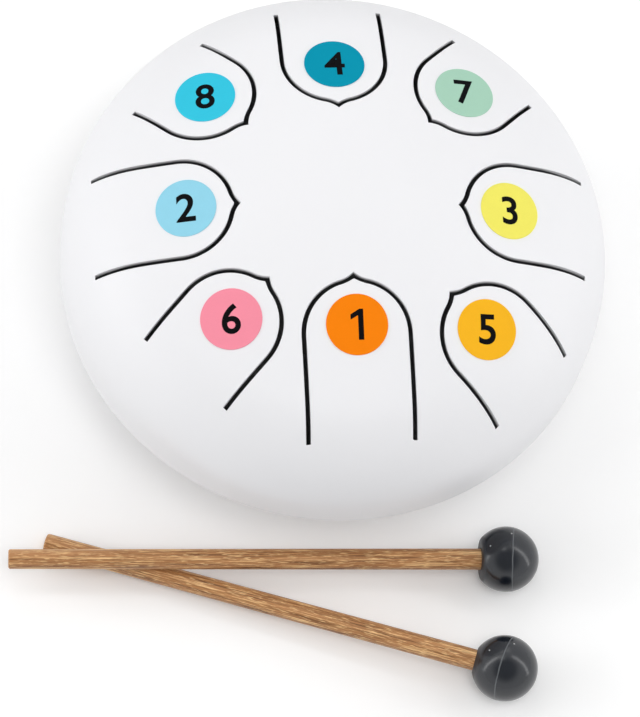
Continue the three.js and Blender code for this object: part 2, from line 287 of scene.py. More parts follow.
class FootSizes(bpy.types.PropertyGroup):
    """Sizes of the rubber feet and their fixings"""

    circle: length("Foot circle", "Distance of a foot from the drum's axis", 44)
    seat_radius: length("Seat radius", "Radius of a foot at the bowl", 7.5)
    sole_radius: length("Sole radius", "Radius of a foot at the table", 6.7)
    recess_radius: length("Recess radius", "Radius of the recess for the screw", 4)
    web: length("Web", "Rubber between the recess and the bowl", 3)
    gap: length("Seat gap", "Gap where one piece seats on another", 0.2)
    washer: length("Washer", "Thickness of the washer", 0.6)
    nut: length("Nut", "Height of the nut", 2.4)
    hole: length("Screw hole", "Radius of the hole for the screw", 1.7)
    screw: length("Screw radius", "Radius of the screw's shank", 1.45)
    screw_head: length("Screw head radius", "Radius of the screw's head", 2.8)
    screw_head_height: length("Screw head height", "Height of the screw's head", 1.8)


class MalletSizes(bpy.types.PropertyGroup):
    """Sizes shared by the two mallets"""

    head_radius: length("Head radius", "Radius of the rubber ball", 9.38)
    handle_radius: length("Handle radius", "Radius of the stick at its handle end", 2.8)
    neck_radius: length("Neck radius", "Radius of the stick at the ball", 3.05)
    end_round: length("End round", "Rounding of the handle's end", 0.6)
    insert: length("Insert", "How far the stick goes into the ball", 13)
    glue: length("Glue", "Gap between the stick and the ball", 0.15)
    seam_width: length("Seam width", "Half the width of the mould line round the ball", 0.2)


class DrumColours(bpy.types.PropertyGroup):
    """Colours of the drum and mallets"""

    paint: colour("Paint", "Powder coat of the shells", RECORD_COLOURS["shell_paint"])
    # The primer's grey is partly painted shade: set dark so the inside seen through the slots looks dark
    inside: colour("Inside", "Primer inside the drum", (0.26, 0.26, 0.27))
    __annotations__.update({tongue.finish: label_colour(i, tongue) for i, tongue in enumerate(TONGUES, 1)})
    ink: colour("Ink", "Printed numbers", (0.005, 0.005, 0.006))
    foot: colour("Feet", "Black rubber", RECORD_COLOURS["foot_rubber"])
    zinc: colour("Zinc", "Plated fixings", RECORD_COLOURS["zinc"])
    head: colour("Heads", "Rubber of the balls under its gloss", (0.004, 0.0065, 0.0115))
    seam: colour("Seam", "Mould line of the balls", (0.16, 0.17, 0.18))
    dust: colour("Dust", "Specks on the balls", (0.5, 0.5, 0.5))
    wood_dark: colour("Wood, dark", "Dark streaks of the sticks", (0.15, 0.056, 0.017))
    wood_mid: colour("Wood, middle", "Body colour of the sticks", (0.385, 0.178, 0.065))
    wood_light: colour("Wood, light", "Pale streaks of the sticks", (0.92, 0.62, 0.30))
    floor: colour("Floor", "Table as it lights the drum", (0.8, 0.8, 0.8))
    # The card is painted shade: a dark sheet put under the sound hole
    card: colour("Card", "Card under the sound hole", (0.15, 0.15, 0.15))


class StageSettings(bpy.types.PropertyGroup):
    """Camera and even light"""

    azimuth: angle("Azimuth", "Turn of the camera round the drum", -15.88)
    elevation: angle("Elevation", "Height of the camera over the table, as an angle", 66.83)
    roll: angle("Roll", "Turn of the picture", 13.5)
    distance: length("Distance", "From the camera to the point it looks at", 1000)
    look_x: length("Look at X", "Point that the camera looks at", 7.57)
    look_y: length("Look at Y", "Point that the camera looks at", 8.83)
    lens: bpy.props.FloatProperty(name="Lens", description="Focal length", default=170.2, unit="CAMERA")
    fill: strength("Fill", "Strength of the even light", 0.43)
    shade: strength("Camera side", "How much dimmer the sky's reflection is round the camera", 0.65)
    floor_gain: strength("Floor gain", "How white the camera sees the table in full light", 1.05)


class DrumSettings(bpy.types.PropertyGroup):
    """Everything that the drum's operators read"""

    shell: group("Shell", ShellSizes)
    label: group("Labels", LabelSizes)
    foot: group("Feet", FootSizes)
    mallet: group("Mallets", MalletSizes)
    colours: group("Colours", DrumColours)
    stage: group("Stage", StageSettings)


def settings():
    return bpy.context.scene.tongue_drum


# Materials


class Value:
    """A node's output that can stand in a sum, where each sign adds a Math node."""

    def __init__(self, finish, socket):
        self.finish = finish
        self.socket = socket

    def sum(self, operation, first, second):
        return self.finish.node("ShaderNodeMath", {"operation": operation}, {0: first, 1: second})

    def __add__(self, other):
        return self.sum("ADD", self, other)

    def __sub__(self, other):
        return self.sum("SUBTRACT", self, other)

    def __rsub__(self, other):
        return self.sum("SUBTRACT", other, self)

    def __mul__(self, other):
        return self.sum("MULTIPLY", self, other)

    def __truediv__(self, other):
        return self.sum("DIVIDE", self, other)

    def size(self):
        return self.sum("ABSOLUTE", self, 0)

    __radd__ = __add__
    __rmul__ = __mul__


class Finish:
    """A node tree being wired up for a material or the world."""

    def __init__(self, holder):
        holder.use_nodes = True
        self.tree = holder.node_tree

    def node(self, kind, setup=None, sockets=None, output=0):
        """Adds a node, sets it up, fills or links its sockets, and returns one of its outputs."""
        made = self.tree.nodes.new(kind)
        for key, value in (setup or {}).items():
            if key == "stops":
                self.stops(made.color_ramp, value)
            else:
                setattr(made, key, value)
        for key, value in (sockets or {}).items():
            self.feed(made.inputs[key], value)
        return Value(self, made.outputs[output])

    def feed(self, socket, value):
        if isinstance(value, Value):
            self.tree.links.new(value.socket, socket)
        elif socket.type == "RGBA":
            socket.default_value = (*value, 1)
        else:
            socket.default_value = value

    def stops(self, ramp, stops):
        while len(ramp.elements) < len(stops):
            ramp.elements.new(1)
        for element, (position, tone) in zip(ramp.elements, stops):
            element.position = position
            element.color = (*tone, 1)

    def shader(self, **sockets):
        """Fills or links sockets of the material's own shader, whose spaces are written as underscores."""
        for key, value in sockets.items():
            self.feed(self.tree.nodes["Principled BSDF"].inputs[key.replace("_", " ")], value)

    def place(self):
        return self.node("ShaderNodeTexCoord", output="Object")

    def noise(self, vector, scale, detail=2.0, rough=0.5):
        sockets = {"Vector": vector, "Scale": scale, "Detail": detail, "Roughness": rough}
        return self.node("ShaderNodeTexNoise", None, sockets, "Fac")

    def cells(self, vector, scale):
        """Distance from the middles of scattered cells."""
        return self.node("ShaderNodeTexVoronoi", None, {"Vector": vector, "Scale": scale}, "Distance")

    def mix(self, factor, first, second):
        """A mix of two colours, whose sockets come after those for numbers and vectors."""
        setup = {"data_type": "RGBA"}
        return self.node("ShaderNodeMix", setup, {0: factor, 6: first, 7: second}, 2)

    def tint(self, factor, tone, dark, light):
        """A colour that varies from a darker to a lighter shade of a tone."""
        return self.mix(factor, shade(tone, dark), shade(tone, light))

    def vector(self, operation, first, second, output="Vector"):
        return self.node("ShaderNodeVectorMath", {"operation": operation}, {0: first, 1: second}, output)

    def clamp(self, value):
        return self.node("ShaderNodeClamp", None, {"Value": value})

    def ramp(self, value, start, slope):
        """Nought at a start, and one where the value has gone far enough past it."""
        return self.clamp((value - start) * slope)

    def bump(self, height, strength, distance):
        sockets = {"Height": height, "Strength": strength, "Distance": distance}
        return self.node("ShaderNodeBump", None, sockets)


def shade(tone, factor):
    """A colour made lighter or darker."""
    return tuple(min(1.0, channel * factor) for channel in tone)


def material(name, wire, *details):
    """The named material, wired up the first time that it is asked for."""
    found = bpy.data.materials.get(name)
    if found is None:
        found = bpy.data.materials.new(name)
        wire(Finish(found), *details)
    return found


def paint_and_peel(finish, place):
    """The shell's white paint, its roughness and its orange peel."""
    broad = finish.noise(place, 38, 3)
    fine = finish.noise(place, 420, 3)
    peel = finish.noise(place, 1500, 2)
    mottle = 0.7 * broad + 0.3 * fine
    paint = finish.tint(mottle, settings().colours.paint, 0.985, 1.012)
    return paint, 0.36 + 0.14 * mottle, finish.bump(0.4 * fine + 0.6 * peel, 0.10, 0.05 * MM)


def primer_and_blotch(finish, place):
    """The primer inside the drum, set dark to paint the shade seen through the slots, and the blotches in it.
    """
    blotch = finish.noise(place, 160, 4)
    return finish.tint(blotch, settings().colours.inside, 0.8, 1.2), blotch


def powder_coat(finish):
    paint, rough, peel = paint_and_peel(finish, finish.place())
    finish.shader(Base_Color=paint, Roughness=rough, Normal=peel)


# Primer for the bowl's inside, partly painted shade
def grey_primer(finish):
    primer, blotch = primer_and_blotch(finish, finish.place())
    finish.shader(
        Base_Color=primer,
        Roughness=0.62 + 0.2 * blotch,
        Normal=finish.bump(blotch, 0.2, 0.05 * MM),
    )


def slotted_coat(finish):
    """Powder coat that thins out down the walls of the slots and gives way to primer inside, darker the
    deeper it goes: partly thinner paint, partly painted shade.
    """
    place = finish.place()
    paint, rough, peel = paint_and_peel(finish, place)
    primer, blotch = primer_and_blotch(finish, place)
    depth = finish.node("ShaderNodeAttribute", {"attribute_name": "depth"}, None, "Fac")
    ragged = depth + PAINT_AND_SHADE_RAGGED * (blotch - 0.5)
    reach = {"Value": ragged, "From Min": PAINT_THINS_INTO_SHADE, "From Max": PAINT_ENDS_IN_SHADE}
    # The fade to primer with depth is partly real thinning of the paint and partly painted shade in the slots
    bare_and_shaded = finish.node("ShaderNodeMapRange", {"interpolation_type": "SMOOTHSTEP"}, reach)
    finish.shader(Base_Color=finish.mix(bare_and_shaded, paint, primer), Roughness=rough + 0.3 * bare_and_shaded, Normal=peel)


def vinyl(finish, slot):
    place = finish.place()
    grain = finish.noise(place, 2600, 2)
    cloud = finish.noise(place, 240, 3)
    finish.shader(
        Base_Color=finish.tint(0.5 * grain + 0.5 * cloud, getattr(settings().colours, slot), 0.95, 1.05),
        Roughness=0.42 + 0.12 * cloud,
        Specular_IOR_Level=0.02,
        Normal=finish.bump(grain, 0.08, 0.02 * MM),
    )


def ink(finish):
    grain = finish.noise(finish.place(), 3200, 2)
    finish.shader(
        Base_Color=finish.tint(grain, settings().colours.ink, 0.6, 1.6),
        Roughness=0.42 + 0.16 * grain,
        Specular_IOR_Level=0.02,
        Normal=finish.bump(grain, 0.1, 0.01 * MM),
    )


def black_rubber(finish):
    place = finish.place()
    bloom = finish.noise(place, 300, 4)
    pores = finish.noise(place, 2200, 3)
    finish.shader(
        Base_Color=finish.tint(bloom, settings().colours.foot, 0.7, 1.9),
        Roughness=0.66 + 0.22 * bloom,
        Normal=finish.bump(pores, 0.25, 0.06 * MM),
    )


def zinc_plate(finish):
    place = finish.place()
    spangle = finish.cells(place, 1300)
    film = finish.noise(place, 420, 3)
    finish.shader(
        Base_Color=finish.tint(0.6 * film + 0.4 * spangle, settings().colours.zinc, 0.86, 1.14),
        Metallic=1.0,
        Roughness=0.26 + 0.18 * film,
        Normal=finish.bump(spangle, 0.05, 0.03 * MM),
    )


def along_mallet(finish, name):
    """Coordinates in a mallet's own frame, from the ball's middle, with Z away from the handle."""
    sockets = {
        "Vector": finish.place(),
        "Location": MALLETS[name].head,
        "Rotation": mallet_turn(name),
    }
    return finish.node("ShaderNodeMapping", {"vector_type": "TEXTURE"}, sockets)


def stained_wood(finish, name):
    colours = settings().colours
    local = along_mallet(finish, name)

    def drawn_out(across, along, detail, rough=0.5):
        """Noise drawn out along the stick."""
        return finish.noise(finish.vector("MULTIPLY", local, (across, across, along)), 1, detail, rough)

    bands = drawn_out(620, 9, 2)
    streaks = drawn_out(2100, 60, 3, 0.6)
    flecks = drawn_out(4200, 330, 2)
    pores = drawn_out(3100, 210, 2)
    grain = finish.clamp(1.8 * bands + 2.3 * streaks - 1.5)
    stops = [
        (0.0, colours.wood_dark),
        (0.35, colours.wood_mid),
        (0.7, shade(colours.wood_mid, 1.25)),
        (1.0, colours.wood_light),
    ]
    body = finish.node("ShaderNodeValToRGB", {"stops": stops}, {"Fac": grain})
    pale = finish.ramp(flecks, 0.55, 8)
    pits = finish.ramp(pores, 0.60, 9)
    flecked = finish.mix(0.8 * pale, body, colours.wood_light)
    finish.shader(
        Base_Color=finish.mix(0.6 * pits, flecked, colours.wood_dark),
        Roughness=0.44 + 0.2 * pits,
        Normal=finish.bump(0.5 * grain + 0.2 * pale - 0.5 * pits, 0.35, 0.06 * MM),
    )


def ball_rubber(finish, name):
    mallet = MALLETS[name]
    colours = settings().colours
    local = along_mallet(finish, name)
    cloud = finish.noise(local, 210, 4)
    fine = finish.noise(local, 2400, 2)
    from_middle = finish.vector("SUBTRACT", finish.place(), mallet.head)
    height = finish.vector("DOT_PRODUCT", from_middle, mallet.seam, "Value")
    wander = 0.5 * MM * (cloud - 0.5)
    away = (height + wander - mallet.seam_shift).size()
    seam = finish.clamp(1.3 - away / settings().mallet.seam_width)
    rare = finish.ramp(finish.noise(local, 120, 1), 0.60, 20)
    dust = finish.ramp(finish.cells(local, 330), 0.085, -60) * rare
    skin = finish.tint(cloud, colours.head, 0.7, 1.4)
    lined = finish.mix(seam * (0.3 + 0.6 * cloud), skin, colours.seam)
    towards_handle = finish.vector("DOT_PRODUCT", local, (0, 0, -1), "Value")
    flat = finish.ramp(towards_handle / mallet.flat, 0.85, 10)
    finish.shader(
        Base_Color=finish.mix(dust, lined, colours.dust),
        Roughness=0.17 + 0.08 * cloud + 0.2 * seam + 0.25 * flat,
        Specular_IOR_Level=0.72,
        Normal=finish.bump(0.12 * fine + seam, 0.5, 0.05 * MM),
    )


# Modelling steps


def pick(piece):
    """Makes a piece the only selected and active one."""
    bpy.ops.object.select_all(action="DESELECT")
    piece.select_set(True)
    bpy.context.view_layer.objects.active = piece


def named(name):
    """The active piece, once it and its data have their name."""
    piece = bpy.context.object
    piece.name = name
    piece.data.name = name
    return piece


def edit(kind=None):
    """Goes into edit mode, to select points, edges or faces if one of these is given."""
    bpy.ops.object.mode_set(mode="EDIT")
    if kind:
        bpy.ops.mesh.select_mode(type=kind)


def leave():
    """Goes back to object mode."""
    bpy.ops.object.mode_set(mode="OBJECT")


def select_all(action="SELECT"):
    """Selects the whole mesh or, with DESELECT, nothing, in edit mode."""
    bpy.ops.mesh.select_all(action=action)


def select_only(piece, kind, test):
    """Leaves edit mode on with the points, edges or faces that pass a test selected."""
    pick(piece)
    edit(kind)
    select_all("DESELECT")
    leave()
    mesh = piece.data
    for element in {"VERT": mesh.vertices, "EDGE": mesh.edges, "FACE": mesh.polygons}[kind]:
        element.select = test(element)
    edit()


def extrude(move):
    bpy.ops.mesh.extrude_region_move(TRANSFORM_OT_translate={"value": move})


def merge_doubles():
    bpy.ops.mesh.remove_doubles(threshold=MERGE)


def tidy_mesh():
    """Merges doubles and turns the faces outwards, in edit mode."""
    select_all()
    merge_doubles()
    bpy.ops.mesh.normals_make_consistent(inside=False)


def seed(name, point):
    """Starts a mesh as one vertex at a point, in edit mode."""
    bpy.ops.mesh.primitive_plane_add(size=SEED_SIZE)
    piece = named(name)
    edit("VERT")
    select_all()
    bpy.ops.mesh.merge(type="CENTER")
    bpy.ops.transform.translate(value=point)
    return piece


def draw(name, points):
    """A line drawn by extruding a vertex from point to point, left in edit mode."""
    piece = seed(name, points[0])
    for start, end in zip(points, points[1:]):
        extrude(end - start)
    select_all()
    merge_doubles()
    return piece


def filled(name, points):
    """A flat face inside a closed line, left in edit mode."""
    piece = draw(name, [*points, points[0]])
    bpy.ops.mesh.edge_face_add()
    return piece


def turned(name, section, turns, centre=Vector((0, 0, 0))):
    """A piece turned about a vertical axis from (distance from the axis, height) points."""
    piece = draw(name, [centre + Vector((out, 0, up)) for out, up in section])
    bpy.ops.mesh.spin(steps=turns, angle=2 * math.pi, center=centre, axis=(0, 0, 1))
    tidy_mesh()
    leave()
    return piece


def put(piece, matrix):
    """Moves a piece and keeps the place in its mesh."""
    pick(piece)
    piece.matrix_world = matrix
    bpy.ops.object.transform_apply(location=True, rotation=True, scale=True)


def copied(piece, name):
    """A copy with a mesh of its own."""
    pick(piece)
    bpy.ops.object.duplicate(linked=False)
    return named(name)


def removed(piece):
    pick(piece)
    bpy.ops.object.delete()


def finished(piece, modifier_type, **values):
    """Adds a modifier with its values and applies it."""
    pick(piece)
    modifier = piece.modifiers.new(modifier_type.title(), modifier_type)
    for key, value in values.items():
        setattr(modifier, key, value)
    bpy.ops.object.modifier_apply(modifier=modifier.name)


def cut(piece, cutter):
    """Cuts one piece out of another and takes the cutter away."""
    finished(piece, "BOOLEAN", object=cutter, operation="DIFFERENCE", solver="EXACT")
    removed(cutter)


def smooth(piece):
    pick(piece)
    bpy.ops.object.shade_smooth_by_angle(angle=SHARP)


def dress(piece, body, slot, *look):
    """Gives a piece a material and its body; its slot in the record is not used."""
    piece.data.materials.append(material(*look))
    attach(piece, body)


# Curves of the shells and slots


def arc(out, up, radius, start, end, steps=LIP_STEPS):
    """Points on an arc about (out, up), with angles from the outward direction."""
    points = []
    for i in range(steps + 1):
        turn = start + (end - start) * i / steps
        points.append((out + radius * math.cos(turn), up + radius * math.sin(turn)))
    return points


def dish(radius, crown, knuckle, inset, hole=0.0):
    """Half section of a dished shell, from its pole or hole out to its wall, as heights over its bend."""
    meet = math.acos((radius - knuckle) / (crown - knuckle))
    crown_up = rise(radius, crown, knuckle) - crown
    start = math.acos(hole / (crown - inset))
    crown_arc = arc(0, crown_up, crown - inset, start, meet, CROWN_STEPS)
    knuckle_arc = arc(radius - knuckle, 0, knuckle - inset, meet, 0, KNUCKLE_STEPS)
    if hole == 0:
        crown_arc[0] = (0, crown_arc[0][1])
    return crown_arc + knuckle_arc[1:]


def rise(radius, crown, knuckle):
    """Height of a dished shell over its bend."""
    return crown - math.sqrt((crown - knuckle) ** 2 - (radius - knuckle) ** 2)


def depth_in_dome(point):
    """How far a point lies under the dome's outside."""
    shell = settings().shell
    bend = shell.top - rise(shell.radius, shell.crown, shell.knuckle)
    flat = point - AXIS
    out = math.hypot(flat.x, flat.y)
    if point.z < bend:
        return shell.radius - out
    hub = shell.radius - shell.knuckle
    crown_up = shell.top - shell.crown
    if (point.z - crown_up) * hub > (bend - crown_up) * out:
        return shell.crown - math.hypot(out, point.z - crown_up)
    return shell.knuckle - math.hypot(out - hub, point.z - bend)


def tongue_edge(tip, margin):
    """Half of a tongue's end grown by a margin, from the side round the arch to the nib, as (out, across)."""
    shell = settings().shell
    base = tip + shell.nib_reach
    half = shell.tongue_width / 2 + margin
    depth = shell.arch_depth + margin
    shoulder = math.acos(shell.nib_half_width / half)
    points = []
    for i in range(ARCH_STEPS + 1):
        turn = shoulder * i / ARCH_STEPS
        points.append(Vector((base - depth * math.sin(turn), half * math.cos(turn))))
    nib = Vector((tip - margin * NIB_SLOT_STRETCH, 0))
    bend = Vector((base - shell.nib_base_depth - margin, shell.nib_base_width))
    start = points[-1]
    for i in range(1, NIB_STEPS + 1):
        along = i / NIB_STEPS
        points.append((1 - along) ** 2 * start + 2 * along * (1 - along) * bend + along ** 2 * nib)
    return points


def slot_outline(tip, root):
    """Closed outline of a slot: round the outside of the cut and back along the tongue."""
    shell = settings().shell
    loop = []
    for margin, turn in ((shell.slot_width / 2, 1), (-shell.slot_width / 2, -1)):
        half = tongue_edge(tip, margin)
        mirrored = [Vector((point.x, -point.y)) for point in half]
        path = half + mirrored[-2::-1]
        ends = [Vector((root, path[0].y)), *path, Vector((root, path[-1].y))]
        loop.extend(ends[::turn])
    return loop


# Operators


class DRUM_OT_dome(bpy.types.Operator):
    """Turn the domed upper shell and cut a slot round each tongue"""

    bl_idname = "drum.dome"
    bl_label = "Dome"

    def execute(self, context):
        shell = settings().shell
        shape = (shell.radius, shell.crown, shell.knuckle)
        bend = shell.top - rise(*shape)
        outer = [(out, bend + up) for out, up in dish(*shape, 0)]
        inner = [(out, bend + up) for out, up in dish(*shape, shell.wall)]
        lip = shell.wall / 3
        bead = lip / 2
        inside = shell.radius - shell.wall
        edge = arc(shell.radius - lip, shell.skirt + lip, lip, 0, -math.pi / 2)
        edge += arc(inside + bead, shell.skirt + bead, bead, -math.pi / 2, -math.pi)
        dome = turned("drum_dome", outer + edge + inner[::-1], SHELL_TURNS, AXIS)
        for tongue in TONGUES:
            cut(dome, self.cutter(tongue))
        self.round_edges(dome)
        self.mark_depth(dome)
        dress(dome, "drum", "shell_paint", "slotted_coat", slotted_coat)
        smooth(dome)
        finished(dome, "WEIGHTED_NORMAL", keep_sharp=True)
        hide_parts("top_shell")
        return {"FINISHED"}

    def cutter(self, tongue):
        """Upright block with the outline of one slot."""
        shell = settings().shell
        floor = (shell.top + shell.skirt) / 2
        outline = slot_outline(tongue.tip, tongue.root)
        block = filled("slot_cutter", [Vector((point.x, point.y, floor)) for point in outline])
        extrude((0, 0, shell.top - shell.skirt))
        tidy_mesh()
        leave()
        put(block, Matrix.Translation(AXIS) @ Matrix.Rotation(tongue.turn * DEGREE, 4, "Z"))
        return block

    def round_edges(self, dome):
        """Rounds the edges of the slots, once the points that crowd them are gone."""
        room = 2 * settings().shell.edge_round
        self.put_in_order(dome)
        self.select_rims(dome)
        bpy.ops.mesh.select_mode(type="VERT")
        bpy.ops.mesh.remove_doubles(threshold=room)
        leave()
        self.select_rims(dome)
        leave()
        rims = self.rim_points(dome, room)
        on_rim = {index for edge in dome.data.edges if edge.select for index in edge.vertices}

        def crowds_rim(vertex):
            return vertex.index not in on_rim and rims.find(vertex.co)[2] < room

        select_only(dome, "VERT", crowds_rim)
        bpy.ops.mesh.dissolve_verts()
        leave()
        self.select_rims(dome)
        bpy.ops.mesh.bevel(
            offset=room / 2, segments=2, affect="EDGES", clamp_overlap=False, loop_slide=False
        )
        tidy_mesh()
        leave()

    def put_in_order(self, dome):
        """Sorts the points, edges and faces by distance, because the cuts leave them in no fixed order."""
        pick(dome)
        edit()
        select_all()
        bpy.ops.mesh.sort_elements(type="CURSOR_DISTANCE", elements={"VERT", "EDGE", "FACE"})
        leave()

    def mark_depth(self, dome):
        """Keeps how far each point lies under the dome's outside, by which the paint thins out and the
        painted shade in the slots deepens.
        """
        lip = settings().shell.skirt + settings().shell.wall
        depth = dome.data.attributes.new("depth", "FLOAT", "POINT")
        for vertex in dome.data.vertices:
            if vertex.co.z > lip:
                depth.data[vertex.index].value = depth_in_dome(vertex.co)

    def select_rims(self, dome):
        """Leaves edit mode on with the sharp edges of the slots selected."""
        pick(dome)
        edit("EDGE")
        select_all("DESELECT")
        bpy.ops.mesh.edges_select_sharp(sharpness=RIM)

    def rim_points(self, dome, spacing):
        """Points close together along the selected edges, to measure distances from."""
        points = []
        for edge in dome.data.edges:
            if edge.select:
                start, end = (dome.data.vertices[index].co for index in edge.vertices)
                steps = math.ceil((end - start).length / spacing)
                points += [start.lerp(end, i / steps) for i in range(steps + 1)]
        tree = KDTree(len(points))
        for index, point in enumerate(points):
            tree.insert(point, index)
        tree.balance()
        return tree


class DRUM_OT_bowl(bpy.types.Operator):
    """Turn the lower shell with its sound hole and drill it for the feet"""

    bl_idname = "drum.bowl"
    bl_label = "Bowl"

    def execute(self, context):
        shell = settings().shell
        radius = shell.radius - shell.wall - shell.lap_gap
        shape = (radius, shell.bowl_crown, shell.bowl_knuckle)
        bend = shell.clearance + rise(*shape)
        lip = shell.wall / 3
        hole = shell.sound_hole + lip
        outer = [(out, bend - up) for out, up in dish(*shape, 0, hole)]
        inner = [(out, bend - up) for out, up in dish(*shape, shell.wall, hole)]
        rim = shell.skirt + shell.rim_lap
        edge = arc(radius - lip, rim - lip, lip, 0, math.pi / 2)
        edge += arc(radius - shell.wall + lip, rim - lip, lip, math.pi / 2, math.pi)
        mouth = arc(hole, inner[0][1] - lip, lip, math.pi / 2, math.pi)
        mouth += arc(hole, outer[0][1] + lip, lip, math.pi, 1.5 * math.pi)
        bowl = turned("drum_bowl", outer + edge + inner[::-1] + mouth, SHELL_TURNS, AXIS)
        for index in range(FEET):
            cut(bowl, self.drill(index))
        dress(bowl, "drum", "shell_paint", "powder_coat", powder_coat)
        bowl.data.materials.append(material("grey_primer", grey_primer))
        self.prime(bowl)
        smooth(bowl)
        finished(bowl, "WEIGHTED_NORMAL", keep_sharp=True)
        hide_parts("bottom_shell")
        return {"FINISHED"}

    def drill(self, index):
        """A rod through the wall where a foot's screw goes."""
        through = 4 * settings().shell.wall
        bpy.ops.mesh.primitive_cylinder_add(
            vertices=SMALL_TURNS, radius=settings().foot.hole, depth=through
        )
        rod = bpy.context.object
        put(rod, foot_place(index))
        return rod

    def prime(self, bowl):
        """Gives the second material to the faces that look into the drum."""
        shell = settings().shell
        ball = AXIS + Vector((0, 0, shell.clearance + shell.bowl_crown))

        def looks_in(face):
            return face.normal.dot(ball - face.center) > 0 and face.normal.z > PRIMER_LOOKS_DOWN

        select_only(bowl, "FACE", looks_in)
        bowl.active_material_index = 1
        bpy.ops.object.material_slot_assign()
        leave()


class DRUM_OT_labels(bpy.types.Operator):
    """Lay a round label with a printed number on each tongue"""

    bl_idname = "drum.labels"
    bl_label = "Labels"

    def execute(self, context):
        shell = settings().shell
        label = settings().label
        under = shell.crown + label.glue
        over = under + label.thickness
        spread = [i / LABEL_STEPS * label.radius for i in range(LABEL_STEPS + 1)]
        lip = label.thickness / 3
        section = [(out, math.sqrt(under ** 2 - out ** 2)) for out in spread[:-1]]
        edge_under = math.sqrt(under ** 2 - label.radius ** 2)
        section += [(label.radius, edge_under), (label.radius, edge_under + label.thickness - lip)]
        section += [(out, math.sqrt(over ** 2 - out ** 2)) for out in [label.radius - lip, *spread[-2::-1]]]
        blank = turned("label_blank", section, LABEL_TURNS)
        for number, tongue in enumerate(TONGUES, 1):
            place = self.place(tongue)
            disc = copied(blank, f"label_{number}")
            put(disc, place)
            dress(disc, "drum", tongue.finish, f"vinyl_{number}", vinyl, tongue.finish)
            smooth(disc)
            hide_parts(f"note_label_{number}")
            figure = self.number(number, over + label.ink)
            put(figure, place @ Matrix.Rotation(-tongue.turn * DEGREE, 4, "Z"))
            dress(figure, "drum", tongue.finish, "ink", ink)
        removed(blank)
        return {"FINISHED"}

    def place(self, tongue):
        """Frame at the middle of the crown's ball, with Z through a tongue's label."""
        shell = settings().shell
        lean = math.asin(tongue.label / shell.crown)
        turn = Euler((0, lean, tongue.turn * DEGREE))
        middle = AXIS + Vector((0, 0, shell.top - shell.crown))
        return Matrix.Translation(middle) @ turn.to_matrix().to_4x4()

    def number(self, number, height):
        """A printed number, bent to the label's curve and given the ink's thickness."""
        label = settings().label
        name = f"label_{number}_number"
        text = self.stroke(name) if number == 1 else self.digit(name, number)
        corners = [Vector(corner) for corner in text.bound_box]
        middle = (corners[0] + corners[6]) / 2
        edit()
        tidy_mesh()
        bpy.ops.transform.translate(value=(-middle.x, -middle.y, height))
        self.gridded()
        extrude((0, 0, -2 * label.ink))
        tidy_mesh()
        leave()
        for vertex in text.data.vertices:
            fall = height - math.sqrt(height ** 2 - vertex.co.x ** 2 - vertex.co.y ** 2)
            vertex.co.z -= fall
        return text

    def digit(self, name, number):
        """A flat number set in type."""
        label = settings().label
        bpy.ops.object.text_add()
        text = bpy.context.object
        text.data.body = str(number)
        text.data.size = label.number_height
        text.data.offset = label.bold
        text.data.resolution_u = TYPE_STEPS
        bpy.context.view_layer.update()
        text.data.size *= label.number_height / text.dimensions.y
        bpy.ops.object.convert(target="MESH")
        return named(name)

    def stroke(self, name):
        """A flat figure one drawn with a flag, which the type's plain stroke lacks."""
        tall = settings().label.number_height
        text = filled(name, [tall * Vector((across, up, 0)) for across, up in FIGURE_ONE])
        leave()
        return text

    def gridded(self):
        """Cuts the flat number into small squares, in edit mode."""
        label = settings().label
        reach = math.ceil(label.number_height / label.number_grid / 2)
        for direction in (Vector((1, 0, 0)), Vector((0, 1, 0))):
            for step in range(-reach, reach + 1):
                select_all()
                bpy.ops.mesh.bisect(plane_co=step * label.number_grid * direction, plane_no=direction)
        select_all()


def foot_place(index):
    """Frame of a foot: on the bowl's outside, with Z square to the bowl and into the drum."""
    shell = settings().shell
    foot = settings().foot
    lean = math.asin(foot.circle / shell.bowl_crown)
    turn = (FIRST_FOOT + 360 / FEET * index) * DEGREE
    seat = shell.clearance + shell.bowl_crown * (1 - math.cos(lean))
    spot = AXIS + Vector((foot.circle * math.cos(turn), foot.circle * math.sin(turn), seat))
    return Matrix.Translation(spot) @ Euler((0, -lean, turn)).to_matrix().to_4x4()


